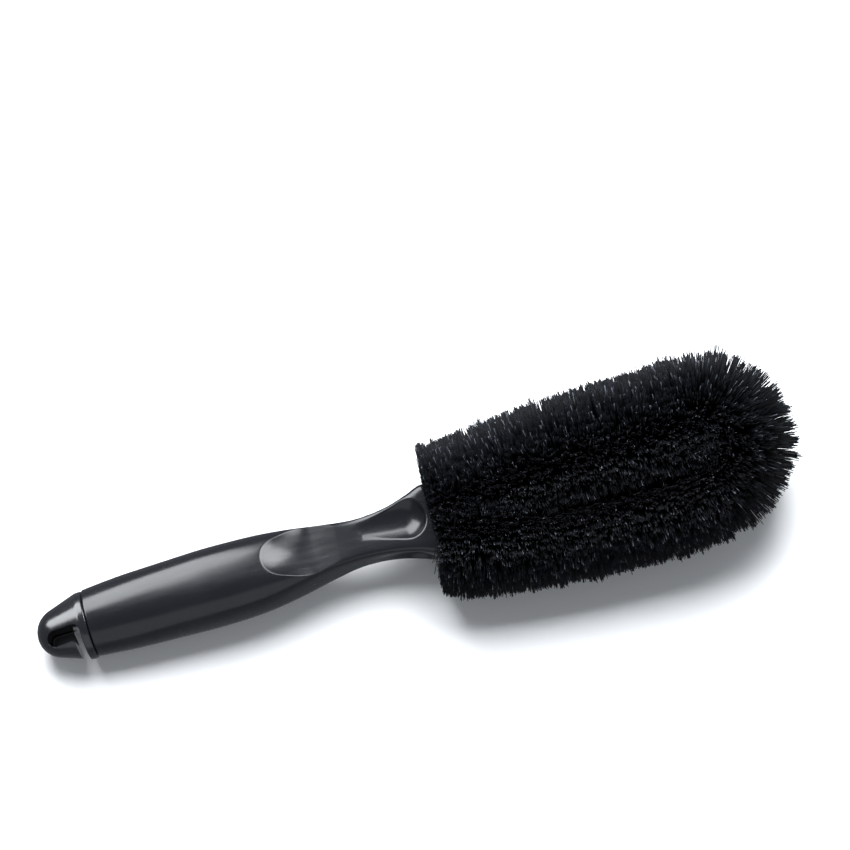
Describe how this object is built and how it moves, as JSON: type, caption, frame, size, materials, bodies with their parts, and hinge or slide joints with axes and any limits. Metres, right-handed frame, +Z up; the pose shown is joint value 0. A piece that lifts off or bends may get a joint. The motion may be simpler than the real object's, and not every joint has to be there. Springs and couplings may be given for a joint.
{
  "type": "wheel brush",
  "caption": "Wheel cleaning brush: a looped twisted-wire head of stiff black bristles on a moulded grip with a push-in end cap and hanging hook.",
  "frame": {"origin": "centre of the bounding box's bottom face, on the surface that the brush lies on", "axes": "+X along the brush from the end cap towards the nose of the head, +Z up, out of the face with the thumb dimple, and the hook's mouth opens towards -Y"},
  "size_m": [0.2696, 0.065, 0.0487],
  "materials": {
    "handle_plastic": "gloss",
    "cap_plastic": "gloss",
    "galvanised_wire": "satin",
    "ferrule_steel": "satin",
    "bristle_filament": "satin"
  },
  "bodies": {
    "root": {"handle": "handle_plastic", "end_cap": "cap_plastic", "wire_strand_a": "galvanised_wire", "wire_strand_b": "galvanised_wire", "stem_ferrule": "ferrule_steel", "bristles_left_leg": "bristle_filament", "bristles_right_leg": "bristle_filament", "bristles_nose": "bristle_filament"}
  },
  "joints": []
}
